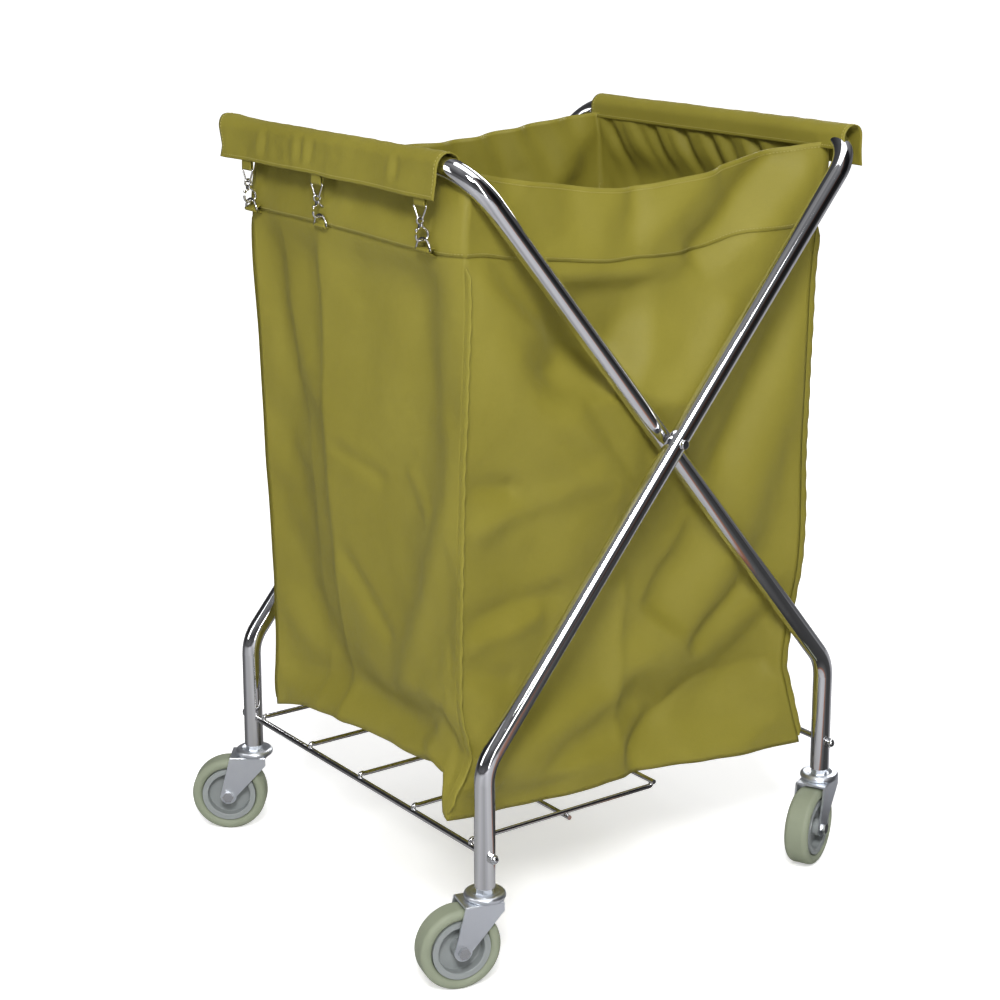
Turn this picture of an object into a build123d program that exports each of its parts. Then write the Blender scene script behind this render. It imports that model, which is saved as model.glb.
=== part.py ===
"""Folding linen trolley: two crossed tube frames, a sliding wire shelf, a hung bag and four casters.

Millimetres. +Z is up and the floor is z = 0. X runs from the left handle bar to the right one,
Y along the handle bars, from front (-Y) to back (+Y). The origin is on the floor, midway
between the legs. Everything is drawn with the trolley open.
"""

import os
from math import cos, radians, sin, sqrt

from build123d import *

# ---- frames ----
TUBE_R = 12.5                # outer radius of the frame tube
TUBE_WALL = 1.5
HALF_LENGTH = 282.0          # x of the leg and handle bar centre lines
INNER_Y = 242.0              # side plane of the inner frame (left handle, right legs)
OUTER_Y = 270.5              # side plane of the outer frame (right handle, left legs)
LEG_END_Z = 119.0            # lower end of the legs
KNEE_Z = 268.0               # where the leg meets the diagonal
BAR_Z = 953.5                # handle bar centre line
BEND_R = 54.0                # bend radius of the tube's centre line
PIVOT_Z = (KNEE_Z + BAR_Z) / 2

# ---- clearances ----
RUN_GAP = 0.05               # radial running clearance of a pin in its hole
SIDE_GAP = 0.4               # between faces of pieces that turn against each other

# ---- pivot bolts ----
PIVOT_BOLT_R = 3.0
PIVOT_HEAD_R = 6.0
PIVOT_HEAD_T = 4.0
PIVOT_NUT_R = 5.5
PIVOT_NUT_T = 3.2

# ---- wire shelf ----
SHELF_PIN_Z = 159.0          # pivot rods through the legs
SHELF_PIN_R = 4.0
WIRE_R = 3.0
WIRE_Z = SHELF_PIN_Z + SHELF_PIN_R + WIRE_R
WIRE_STEP = 121.0            # spacing of the long wires
LEFT_WIRES_Y = [n * WIRE_STEP for n in (-2, -1, 0, 1, 2)]
RIGHT_WIRES_Y = [n * WIRE_STEP for n in (-1.5, -0.5, 0.5, 1.5)]
LEFT_REACH = 274.0           # from the pivot rod to the end wire
RIGHT_REACH = 298.0
LEFT_MID = 142.0             # from the pivot rod to the cross wire under the long wires
RIGHT_MID = 110.0
LAYER = 2 * WIRE_R + 0.6     # end wires pass over the other half's long wires, cross wires under
WELD_R = 2.2                 # weld studs between the long wires and the cross wire
WIRE_BEND_R = 3.2
THREAD_R = 3.0               # turned-down ends of the pivot rods
CAP_NUT_R = 6.5
CAP_NUT_T = 6.0

# ---- casters ----
WHEEL_R = 50.0
TYRE_HALF_W = 16.0
TYRE_SHOULDER = 7.0
RIM_R = 36.0
RIM_INNER_R = 28.5
RIM_HALF_W = 15.0
WEB_HALF_T = 3.0
BOSS_R = 11.0
BOSS_HALF_W = 17.4
AXLE_R = 4.0
TRAIL = 34.25                # wheel axle behind the swivel axis
PLATE_T = 2.5                # fork sheet
PLATE_Z = 103.0              # underside of the fork's top plate
FORK_GAP = 18.0              # half the space between the fork legs
FORK_BACK = 17.0             # how far the fork reaches behind the swivel axis
FORK_FRONT = 31.0
FORK_TIP_R = 11.0
HEAD_R = 25.0                # swivel head
HEAD_TOP_Z = 113.5
RACE_R = 18.0
BALL_R = 1.6
BALL_COUNT = 16
STEM_R = 6.0
STEM_TOP_Z = 148.0
HEX_R = 10.9                 # across corners / 2 of the hexagon under the leg
AXLE_HEX_R = 7.5
AXLE_HEX_T = 5.0

# ---- bag ----
CLOTH_T = 1.6
BAG_HALF_Y = 223.0
BAG_FLOOR_Z = 184.0
BAG_TOP_Z = 944.0
BAG_SAG = 28.0               # the long rims hang lower in the middle
BULGE_X = 284.0              # the short panels stand out below the handle bars
FLAP_BORE_R = TUBE_R + 1.0
FLAP_END_Z = 912.0
FLAP_HALF_Y = {"left": 184.0, "right": 212.0}

# ---- clips on the bag's flaps ----
CLIP_Y = {"left": [-174.0, 47.0, 214.0], "right": [-172.0, 20.0, 168.0]}
STRAP_HALF_W = 12.5
STRAP_LEN = 27.0
LOOP_WIRE_R = 1.2
HOOK_WIRE_R = 1.6
GATE_R = 1.1
THUMB_R = 1.9
HOOK_R = 8.0                 # half the width of the hook's opening, to the wire's centre
HOOK_OFFSET = 297.0          # x of the hook's middle
LOOP_OFFSET = 299.4
RING_OFFSET = 295.5
RING_WIRE_R = 1.5
RING_R = 13.5
RING_Z = 858.0
HOOK_LOW_Z = RING_Z + RING_R - RING_WIRE_R - HOOK_WIRE_R - 0.4
BARREL_Z = HOOK_LOW_Z + 15.0
EYE_Z = BARREL_Z + 9.0
LOOP_HEIGHT = 16.0
GATE_PIN_R = 1.3
GATE_PIN_HALF = 2.4

os.makedirs("parts", exist_ok=True)


def save(piece, name):
    """Label one finished piece and write its STEP file."""
    piece.part.label = name
    export_step(piece.part, f"parts/{name}.step")


def side_hole(x, y, z, radius, half_length):
    """Drill along Y through the part being built."""
    with Locations(Location((x, y, z), (90, 0, 0))):
        Cylinder(radius, 2 * half_length, mode=Mode.SUBTRACT)


# ---------------------------------------------------------------- frames


def frame_tube(name, handle_side, half_y, pin_z):
    """One bent tube: up a leg, along a diagonal, across as the handle bar, and down again."""
    bar_x = handle_side * HALF_LENGTH
    side = [(-bar_x, LEG_END_Z), (-bar_x, KNEE_Z), (bar_x, BAR_Z)]
    front = [(x, -half_y, z) for x, z in side]
    back = [(x, half_y, z) for x, z in reversed(side)]
    with BuildPart() as tube:
        with BuildLine():
            route = FilletPolyline(*front, *back, radius=BEND_R)
        with BuildSketch(Plane(origin=front[0], z_dir=(0, 0, 1))):
            Circle(TUBE_R)
            Circle(TUBE_R - TUBE_WALL, mode=Mode.SUBTRACT)
        sweep(path=route)
        for y in (-half_y, half_y):
            side_hole(0, y, PIVOT_Z, PIVOT_BOLT_R + RUN_GAP, 2 * TUBE_R)
            side_hole(-bar_x, y, pin_z, SHELF_PIN_R + RUN_GAP, 2 * TUBE_R)
    save(tube, name)


frame_tube("outer_frame", 1, OUTER_Y, SHELF_PIN_Z)
frame_tube("inner_frame", -1, INNER_Y, SHELF_PIN_Z)

INNER_FACE = INNER_Y - TUBE_R
OUTER_FACE = OUTER_Y + TUBE_R

with BuildPart() as pivot_bolts:
    for side in (-1, 1):
        outward = Plane(origin=(0, side * OUTER_FACE, PIVOT_Z), z_dir=(0, side, 0))
        with BuildSketch(outward):
            Circle(PIVOT_HEAD_R)
        extrude(amount=PIVOT_HEAD_T)
        with BuildSketch(outward):
            Circle(PIVOT_BOLT_R)
        extrude(amount=-(OUTER_FACE - INNER_FACE + PIVOT_NUT_T + SIDE_GAP))
    rims = pivot_bolts.edges().filter_by(GeomType.CIRCLE).filter_by(lambda e: e.radius > PIVOT_BOLT_R)
    fillet(rims.filter_by(lambda e: abs(e.center().Y) > OUTER_FACE + PIVOT_HEAD_T / 2), 2.2)
save(pivot_bolts, "pivot_bolts")

with BuildPart() as pivot_nuts:
    for side in (-1, 1):
        with BuildSketch(Plane(origin=(0, side * (INNER_FACE - SIDE_GAP), PIVOT_Z), z_dir=(0, -side, 0))):
            RegularPolygon(PIVOT_NUT_R, 6)
            Circle(PIVOT_BOLT_R, mode=Mode.SUBTRACT)
        extrude(amount=PIVOT_NUT_T)
save(pivot_nuts, "pivot_nuts")

with BuildPart() as pivot_spacers:
    for side in (-1, 1):
        start_y = side * (INNER_Y + TUBE_R + SIDE_GAP)
        with BuildSketch(Plane(origin=(0, start_y, PIVOT_Z), z_dir=(0, side, 0))):
            Circle(PIVOT_HEAD_R + 1.0)
            Circle(PIVOT_BOLT_R + RUN_GAP, mode=Mode.SUBTRACT)
        extrude(amount=OUTER_Y - INNER_Y - 2 * TUBE_R - SIDE_GAP)
save(pivot_spacers, "pivot_spacers")


def leg_plugs(name, x, half_y):
    """Threaded plugs pressed into the leg ends, which take the caster stems."""
    with BuildPart() as plugs:
        with BuildSketch(Plane.XY.offset(LEG_END_Z)):
            with Locations((x, -half_y), (x, half_y)):
                Circle(TUBE_R - TUBE_WALL - RUN_GAP)
                Circle(STEM_R, mode=Mode.SUBTRACT)
        extrude(amount=STEM_TOP_Z - LEG_END_Z)
    save(plugs, name)


leg_plugs("outer_leg_plugs", -HALF_LENGTH, OUTER_Y)
leg_plugs("inner_leg_plugs", HALF_LENGTH, INNER_Y)

# ---------------------------------------------------------------- wire shelf


def shelf_half(name, side, half_y, wires_y, reach, mid):
    """Half of the shelf: a pivot rod through two legs, long wires, a cross wire and an end wire."""
    pin_x = side * HALF_LENGTH
    end_x = pin_x - side * reach
    mid_x = pin_x - side * mid
    shoulder_y = half_y + TUBE_R + SIDE_GAP
    span = wires_y[-1] - wires_y[0]
    with BuildPart() as half:
        with Locations(Location((pin_x, 0, SHELF_PIN_Z), (90, 0, 0))):
            Cylinder(SHELF_PIN_R, 2 * shoulder_y)
            Cylinder(THREAD_R, 2 * (shoulder_y + CAP_NUT_T))
        for y in wires_y:
            with BuildLine():
                wire = FilletPolyline(
                    (pin_x, y, SHELF_PIN_Z + SHELF_PIN_R - 1.0),
                    (pin_x, y, WIRE_Z + WIRE_BEND_R),
                    (pin_x - side * 2 * WIRE_R, y, WIRE_Z),
                    (end_x, y, WIRE_Z),
                    (end_x, y, WIRE_Z + LAYER),
                    radius=WIRE_BEND_R,
                )
            with BuildSketch(Plane(origin=wire @ 0, z_dir=wire % 0)):
                Circle(WIRE_R)
            sweep(path=wire)
        with Locations(Location((end_x, 0, WIRE_Z + LAYER), (90, 0, 0))):
            Cylinder(WIRE_R, span + 4 * WIRE_R)
        with Locations(Location((mid_x, 0, WIRE_Z - LAYER), (90, 0, 0))):
            Cylinder(WIRE_R, span + 4 * WIRE_R)
        with Locations(*[(mid_x, y, WIRE_Z - LAYER / 2) for y in wires_y]):
            Cylinder(WELD_R, LAYER)
    save(half, name)


def shelf_nuts(name, side, half_y):
    """Domed nuts on the two threaded ends of a pivot rod."""
    face_y = half_y + TUBE_R + SIDE_GAP
    with BuildPart() as nuts:
        for end in (-1, 1):
            seat = Plane(origin=(side * HALF_LENGTH, end * face_y, SHELF_PIN_Z), z_dir=(0, end, 0))
            with BuildSketch(seat):
                RegularPolygon(CAP_NUT_R, 6)
            extrude(amount=CAP_NUT_T)
            with Locations(seat.offset(CAP_NUT_T)):
                Sphere(CAP_NUT_R - 1.2)
            with BuildSketch(seat):
                Circle(THREAD_R)
            extrude(amount=CAP_NUT_T, mode=Mode.SUBTRACT)
    save(nuts, name)


shelf_half("left_shelf", -1, OUTER_Y, LEFT_WIRES_Y, LEFT_REACH, LEFT_MID)
shelf_half("right_shelf", 1, INNER_Y, RIGHT_WIRES_Y, RIGHT_REACH, RIGHT_MID)
shelf_nuts("left_shelf_nuts", -1, OUTER_Y)
shelf_nuts("right_shelf_nuts", 1, INNER_Y)

# ---------------------------------------------------------------- casters


def caster(name, x, y, heading):
    """One swivel caster under a leg. Heading is the direction its wheel trails to, in degrees."""
    ahead = (cos(radians(heading)), sin(radians(heading)), 0)
    across = (ahead[1], -ahead[0], 0)
    deck = Plane(origin=(x, y, 0), x_dir=ahead, z_dir=(0, 0, 1))
    side = Plane(origin=(x, y, 0), x_dir=ahead, z_dir=across)
    hub_at = (x + TRAIL * ahead[0], y + TRAIL * ahead[1], WHEEL_R)
    hub_plane = Plane(origin=hub_at, x_dir=across, z_dir=(-ahead[0], -ahead[1], 0))
    axle = Axis(hub_at, across)
    swivel = Axis((x, y, 0), (0, 0, 1))
    fork_face = FORK_GAP + PLATE_T

    with BuildPart() as stem:
        with BuildSketch(side):
            with BuildLine():
                Polyline(
                    (0, PLATE_Z - 3.0),
                    (STEM_R + 2.5, PLATE_Z - 3.0),
                    (STEM_R + 2.5, PLATE_Z - SIDE_GAP),
                    (STEM_R, PLATE_Z - SIDE_GAP),
                    (STEM_R, HEAD_TOP_Z - 4.5),
                    (HEAD_R - 3.0, HEAD_TOP_Z - 4.5),
                    (HEAD_R - 3.0, PLATE_Z + PLATE_T + SIDE_GAP),
                    (HEAD_R - 1.0, PLATE_Z + PLATE_T + SIDE_GAP),
                )
                ThreePointArc(
                    (HEAD_R - 1.0, PLATE_Z + PLATE_T + SIDE_GAP),
                    (HEAD_R, HEAD_TOP_Z - 3.5),
                    (HEAD_R - 4.0, HEAD_TOP_Z),
                )
                Polyline(
                    (HEAD_R - 4.0, HEAD_TOP_Z),
                    (HEAD_R - 8.0, HEAD_TOP_Z),
                    (HEX_R + 1.5, HEAD_TOP_Z - 2.0),
                    (STEM_R, HEAD_TOP_Z - 2.0),
                    (STEM_R, STEM_TOP_Z),
                    (0, STEM_TOP_Z),
                    (0, PLATE_Z - 3.0),
                )
            make_face()
        revolve(axis=swivel)
        with BuildSketch(deck.offset(HEAD_TOP_Z - 2.5)):
            RegularPolygon(HEX_R, 6)
        extrude(amount=LEG_END_Z - HEAD_TOP_Z + 2.5)
    save(stem, f"{name}_stem")

    with BuildPart() as fork:
        with BuildSketch(side.offset(-fork_face)):
            with BuildLine():
                Polyline((-FORK_BACK, PLATE_Z + PLATE_T), (FORK_FRONT, PLATE_Z + PLATE_T))
                Line((FORK_FRONT, PLATE_Z + PLATE_T), (TRAIL + FORK_TIP_R, WHEEL_R))
                ThreePointArc(
                    (TRAIL + FORK_TIP_R, WHEEL_R),
                    (TRAIL, WHEEL_R - FORK_TIP_R),
                    (TRAIL - FORK_TIP_R, WHEEL_R),
                )
                Polyline(
                    (TRAIL - FORK_TIP_R, WHEEL_R),
                    (-FORK_BACK, PLATE_Z - 9.0),
                    (-FORK_BACK, PLATE_Z + PLATE_T),
                )
            make_face()
        extrude(amount=2 * fork_face)
        with BuildSketch(deck):
            Rectangle(6 * HEAD_R, 2 * FORK_GAP)
        extrude(amount=PLATE_Z, mode=Mode.SUBTRACT)
        top_edges = fork.edges().filter_by(Axis((x, y, 0), ahead)).group_by(Axis.Z)[-1]
        fillet(top_edges, 2.0)
        with BuildSketch(deck.offset(PLATE_Z + PLATE_T)):
            Circle(RACE_R - BALL_R)
        extrude(amount=BALL_R)
        with BuildSketch(deck.offset(PLATE_Z)):
            Circle(STEM_R + RUN_GAP)
        extrude(amount=PLATE_T + BALL_R, mode=Mode.SUBTRACT)
        with BuildSketch(side.offset(-fork_face)):
            with Locations((TRAIL, WHEEL_R)):
                Circle(AXLE_R + RUN_GAP)
        extrude(amount=2 * fork_face, mode=Mode.SUBTRACT)
    save(fork, f"{name}_fork")

    with BuildPart() as balls:
        with Locations(deck.offset(PLATE_Z + PLATE_T + BALL_R + RUN_GAP)):
            with PolarLocations(RACE_R + RUN_GAP, BALL_COUNT):
                Sphere(BALL_R)
    save(balls, f"{name}_bearing_balls")

    with BuildPart() as bolt:
        with BuildSketch(side.offset(-fork_face)):
            with Locations((TRAIL, WHEEL_R)):
                Circle(AXLE_R)
        extrude(amount=2 * fork_face + AXLE_HEX_T + 1.5)
        with BuildSketch(side.offset(-fork_face)):
            with Locations((TRAIL, WHEEL_R)):
                RegularPolygon(AXLE_HEX_R, 6)
        extrude(amount=-AXLE_HEX_T)
    save(bolt, f"{name}_axle_bolt")

    with BuildPart() as nut:
        with BuildSketch(side.offset(fork_face)):
            with Locations((TRAIL, WHEEL_R)):
                RegularPolygon(AXLE_HEX_R, 6)
                Circle(AXLE_R, mode=Mode.SUBTRACT)
        extrude(amount=AXLE_HEX_T)
    save(nut, f"{name}_axle_nut")

    with BuildPart() as hub:
        with BuildSketch(hub_plane):
            with Locations((0, (RIM_R + RIM_INNER_R) / 2)):
                Rectangle(2 * RIM_HALF_W, RIM_R - RIM_INNER_R)
            with Locations((0, (RIM_INNER_R + BOSS_R) / 2)):
                Rectangle(2 * WEB_HALF_T, RIM_INNER_R - BOSS_R + 2.0)
            with Locations((0, (BOSS_R + AXLE_R + RUN_GAP) / 2)):
                Rectangle(2 * BOSS_HALF_W, BOSS_R - AXLE_R - RUN_GAP)
        revolve(axis=axle)
        rings = hub.edges().filter_by(GeomType.CIRCLE)
        fillet(rings.filter_by(lambda e: abs(e.radius - RIM_INNER_R) < 0.1), 1.2)
    save(hub, f"{name}_hub")

    with BuildPart() as tyre:
        with BuildSketch(hub_plane):
            with Locations((0, (WHEEL_R + RIM_R) / 2)):
                Rectangle(2 * TYRE_HALF_W, WHEEL_R - RIM_R)
            fillet(vertices().group_by(Axis((0, 0, 0), (0, 0, 1)))[-1], TYRE_SHOULDER)
        revolve(axis=axle)
    save(tyre, f"{name}_tyre")


caster("front_left_caster", -HALF_LENGTH, -OUTER_Y, 165.6)
caster("back_left_caster", -HALF_LENGTH, OUTER_Y, 143.0)
caster("front_right_caster", HALF_LENGTH, -INNER_Y, 205.0)
caster("back_right_caster", HALF_LENGTH, INNER_Y, 20.0)

# ---------------------------------------------------------------- bag

PANEL_X = HALF_LENGTH - FLAP_BORE_R          # outer face of a short panel at the handle bar
CORNER_Y = BAG_HALF_Y - CLOTH_T - SIDE_GAP   # half width of the short panels


def long_panel(name, side):
    """Front or back panel, with its top corners cut clear of the frame's bends and a sagging rim."""
    with BuildPart() as panel:
        with BuildSketch(Plane(origin=(0, side * BAG_HALF_Y, 0), x_dir=(1, 0, 0), z_dir=(0, -1, 0))):
            with BuildLine():
                Polyline(
                    (-235.0, BAG_TOP_Z - 8.0),
                    (-PANEL_X + 4.0, BAG_TOP_Z - 64.0),
                    (-PANEL_X + 2.0, BAG_FLOOR_Z),
                    (PANEL_X - 2.0, BAG_FLOOR_Z),
                    (PANEL_X - 4.0, BAG_TOP_Z - 64.0),
                    (235.0, BAG_TOP_Z - 8.0),
                )
                ThreePointArc(
                    (235.0, BAG_TOP_Z - 8.0),
                    (0, BAG_TOP_Z - BAG_SAG),
                    (-235.0, BAG_TOP_Z - 8.0),
                )
            make_face()
        extrude(amount=side * CLOTH_T)
    save(panel, name)


def short_panel(name, side):
    """Left or right panel: down inside the handle bar, out over its clips, and in to the floor."""
    face = [
        (PANEL_X, BAG_TOP_Z),
        (PANEL_X, BAG_TOP_Z - 14.0),
        (BULGE_X, BAG_TOP_Z - 64.0),
        (BULGE_X, BAG_TOP_Z - 98.0),
        (BULGE_X - 6.0, BAG_TOP_Z - 254.0),
        (PANEL_X + 2.0, BAG_TOP_Z - 570.0),
        (PANEL_X - 0.5, BAG_FLOOR_Z),
    ]
    with BuildPart() as panel:
        with BuildSketch(Plane(origin=(0, side * CORNER_Y, 0), x_dir=(side, 0, 0), z_dir=(0, -side, 0))):
            with BuildLine():
                Polyline(*face, *[(x - CLOTH_T, z) for x, z in reversed(face)], close=True)
            make_face()
        extrude(amount=2 * CORNER_Y)
        with BuildSketch(Plane(origin=(0, 0, 0), x_dir=(0, 1, 0), z_dir=(1, 0, 0))):
            for end in (-1, 1):
                with BuildLine():
                    Polyline(
                        (end * (CORNER_Y - 26.0), BAG_TOP_Z + 1.0),
                        (end * (CORNER_Y - 26.0), BAG_TOP_Z - 42.0),
                        (end * (CORNER_Y + 1.0), BAG_TOP_Z - 64.0),
                        (end * (CORNER_Y + 1.0), BAG_TOP_Z + 1.0),
                        close=True,
                    )
                make_face()
        extrude(amount=1.2 * HALF_LENGTH, both=True, mode=Mode.SUBTRACT)
    save(panel, name)


long_panel("bag_front_panel", -1)
long_panel("bag_back_panel", 1)
short_panel("bag_left_panel", -1)
short_panel("bag_right_panel", 1)

with BuildPart() as bag_floor:
    with BuildSketch(Plane.XY.offset(BAG_FLOOR_Z)):
        Rectangle(2 * (PANEL_X - CLOTH_T - 1.0), 2 * CORNER_Y)
    extrude(amount=CLOTH_T)
save(bag_floor, "bag_floor")


def flap(name, side, half_y):
    """The top of a short panel, folded over the handle bar and hanging down outside it."""
    outer_r = FLAP_BORE_R + CLOTH_T
    outside_z = FLAP_END_Z - BAR_Z
    inside_z = BAG_TOP_Z - BAR_Z + SIDE_GAP
    end_plane = Plane(
        origin=(side * HALF_LENGTH, side * half_y, BAR_Z),
        x_dir=(side, 0, 0),
        z_dir=(0, -side, 0),
    )
    with BuildPart() as fold:
        with BuildSketch(end_plane):
            with BuildLine():
                Polyline((FLAP_BORE_R, 0), (FLAP_BORE_R, outside_z), (outer_r, outside_z), (outer_r, 0))
                ThreePointArc((outer_r, 0), (0, outer_r), (-outer_r, 0))
                Polyline((-outer_r, 0), (-outer_r, inside_z), (-FLAP_BORE_R, inside_z), (-FLAP_BORE_R, 0))
                ThreePointArc((-FLAP_BORE_R, 0), (0, FLAP_BORE_R), (FLAP_BORE_R, 0))
            make_face()
        extrude(amount=2 * half_y)
    save(fold, name)


flap("left_flap", -1, FLAP_HALF_Y["left"])
flap("right_flap", 1, FLAP_HALF_Y["right"])

# ---------------------------------------------------------------- clips


def clips(end, side):
    """The straps, wire loops, snap hooks and D-rings along one flap; gates come one by one."""
    strap_x = side * (HALF_LENGTH + FLAP_BORE_R + CLOTH_T + 0.3 + CLOTH_T / 2)
    loop_x = side * LOOP_OFFSET
    hook_x = side * HOOK_OFFSET
    ring_x = side * RING_OFFSET
    loop_low_z = EYE_Z + LOOP_WIRE_R + 0.2
    loop_top_z = loop_low_z + LOOP_HEIGHT
    strap_low_z = loop_top_z + LOOP_WIRE_R + 0.3
    pivot = (hook_x + side * 3.2, BARREL_Z + 0.5)
    nose = (hook_x + side * HOOK_R, HOOK_LOW_Z + 8.0)

    with BuildPart() as straps:
        with Locations(*[(strap_x, y, strap_low_z) for y in CLIP_Y[end]]):
            Box(CLOTH_T, 2 * STRAP_HALF_W, STRAP_LEN, align=(Align.CENTER, Align.CENTER, Align.MIN))
    save(straps, f"{end}_clip_straps")

    with BuildPart() as loops:
        for y in CLIP_Y[end]:
            with BuildLine():
                loop = FilletPolyline(
                    (loop_x, y + 13.5, loop_top_z),
                    (loop_x, y + 4.5, loop_low_z),
                    (loop_x, y - 4.5, loop_low_z),
                    (loop_x, y - 13.5, loop_top_z),
                    radius=1.6,
                    close=True,
                )
            with BuildSketch(Plane(origin=loop @ 0, z_dir=loop % 0)):
                Circle(LOOP_WIRE_R)
            sweep(path=loop)
    save(loops, f"{end}_clip_loops")

    with BuildPart() as hooks:
        for y in CLIP_Y[end]:
            with Locations(Location((loop_x, y, EYE_Z), (90, 0, 0))):
                Torus(4.2, 1.4)
            with Locations((hook_x + side * 1.2, y, (BARREL_Z + EYE_Z) / 2 - 0.8)):
                Cylinder(4.0, EYE_Z - BARREL_Z - 5.6)
            with BuildLine():
                bow = FilletPolyline(
                    (hook_x - side * 1.0, y, BARREL_Z + 2.0),
                    (hook_x - side * HOOK_R, y, BARREL_Z - 4.0),
                    (hook_x - side * HOOK_R, y, HOOK_LOW_Z),
                    (hook_x + side * HOOK_R, y, HOOK_LOW_Z),
                    (nose[0], y, nose[1]),
                    radius=6.0,
                )
            with BuildSketch(Plane(origin=bow @ 0, z_dir=bow % 0)):
                Circle(HOOK_WIRE_R)
            sweep(path=bow)
    save(hooks, f"{end}_clip_hooks")

    for number, y in enumerate(CLIP_Y[end], start=1):
        with BuildPart() as gate:
            with BuildLine():
                lever = Line((pivot[0], y, pivot[1]), (nose[0], y, nose[1] + HOOK_WIRE_R + 0.8))
            with BuildSketch(Plane(origin=lever @ 0, z_dir=lever % 0)):
                Circle(GATE_R)
            sweep(path=lever)
            with Locations((lever @ 0.45) + Vector(side * 2.0, 0, 0)):
                Sphere(THUMB_R)
            with Locations(Location((pivot[0], y, pivot[1]), (90, 0, 0))):
                Cylinder(GATE_PIN_R, 2 * GATE_PIN_HALF)
        save(gate, f"{end}_clip_gate_{number}")

    with BuildPart() as rings:
        for y in CLIP_Y[end]:
            with Locations(Location((ring_x, y, RING_Z), (90, 0, 0))):
                Cylinder(RING_WIRE_R, 2 * (RING_R + RING_WIRE_R))
            with BuildSketch(Plane(origin=(ring_x, y + RING_R, RING_Z), z_dir=(0, 0, 1))):
                Circle(RING_WIRE_R)
            revolve(axis=Axis((ring_x, y, RING_Z), (1, 0, 0)), revolution_arc=180)
    save(rings, f"{end}_clip_rings")


clips("left", -1)
clips("right", 1)
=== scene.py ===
"""Linen trolley: cloth bag, fittings, finishes, light and camera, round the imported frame."""

import math

import bpy
import numpy as np
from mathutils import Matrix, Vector


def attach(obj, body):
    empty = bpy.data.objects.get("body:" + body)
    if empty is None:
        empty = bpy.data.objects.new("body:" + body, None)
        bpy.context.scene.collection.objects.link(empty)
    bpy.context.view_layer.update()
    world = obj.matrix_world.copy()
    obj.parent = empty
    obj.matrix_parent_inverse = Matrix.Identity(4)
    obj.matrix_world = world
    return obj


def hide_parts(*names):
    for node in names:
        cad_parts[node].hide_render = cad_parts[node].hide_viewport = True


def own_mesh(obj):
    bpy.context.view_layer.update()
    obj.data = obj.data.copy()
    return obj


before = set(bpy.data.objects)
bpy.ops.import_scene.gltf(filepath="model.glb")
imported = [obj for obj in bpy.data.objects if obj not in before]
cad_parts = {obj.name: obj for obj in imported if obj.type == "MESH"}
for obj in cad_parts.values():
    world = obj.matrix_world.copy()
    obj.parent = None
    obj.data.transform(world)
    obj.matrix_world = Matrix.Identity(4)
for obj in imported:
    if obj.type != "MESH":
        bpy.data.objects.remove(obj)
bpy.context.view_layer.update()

# -------- nodes, camera, light and floor


def add_object(name, data):
    """A new object in the scene."""
    thing = bpy.data.objects.new(name, data)
    bpy.context.collection.objects.link(thing)
    return thing


def make_camera():
    """The photograph's view, from its near left and a little above the rim."""
    data = bpy.data.cameras.new("camera")
    data.sensor_width = 36.0
    data.lens = 79.26
    data.shift_x = -0.0074
    data.shift_y = -0.0929
    data.clip_end = 100.0
    camera = add_object("camera", data)
    camera.location = (-1.6540, -2.2024, 1.2599)
    camera.rotation_euler = (math.radians(76.56), 0.0, math.radians(-36.02))
    bpy.context.scene.camera = camera


def soft_box(name, place, target, size, power):
    """A large soft lamp at place, turned to target."""
    data = bpy.data.lights.new(name, "AREA")
    data.shape = "RECTANGLE"
    data.size, data.size_y = size
    data.energy = power
    lamp = add_object(name, data)
    lamp.location = place
    aim = Vector(target) - Vector(place)
    lamp.rotation_euler = aim.to_track_quat("-Z", "Y").to_euler()


def set_values(node, values):
    """Sets a node's inputs, or else its own settings, by name."""
    for name, value in values.items():
        socket = name.replace("_", " ")
        if socket in node.inputs:
            node.inputs[socket].default_value = value
        else:
            setattr(node, name, value)


def add_node(tree, kind, **values):
    """A shader node with its values set."""
    node = tree.nodes.new("ShaderNode" + kind)
    set_values(node, values)
    return node


def set_stops(ramp, stops):
    """Gives a colour ramp its (position, colour) stops, from the first to the last."""
    elements = ramp.color_ramp.elements
    for stop, (place, colour) in ((elements[0], stops[0]), (elements[1], stops[-1])):
        stop.position = place
        stop.color = (*colour, 1.0)
    for place, colour in stops[1:-1]:
        elements.new(place).color = (*colour, 1.0)


# what the chrome mirrors round the room: (share of a turn from due left, brightness)
SECTORS = (
    (0.000, 0.80), (0.060, 1.00), (0.130, 0.62), (0.190, 1.00), (0.262, 0.85), (0.290, 0.16),
    (0.330, 0.05), (0.405, 0.09), (0.430, 0.75), (0.500, 1.00), (0.600, 0.55), (0.700, 0.90),
    (0.790, 0.30), (0.880, 0.22), (0.930, 0.75), (1.000, 0.80))
WARM_SECTOR = (0.276, (0.60, 0.22, 0.10))
# the same from straight down (0) to straight up (1)
ROOM_HEIGHTS = (
    (0.36, (0.95, 0.95, 0.95)), (0.50, (0.42, 0.42, 0.4284)), (0.62, (0.16, 0.16, 0.1632)),
    (0.78, (0.42, 0.42, 0.4284)), (1.00, (1.0, 1.0, 1.0)))


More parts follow.
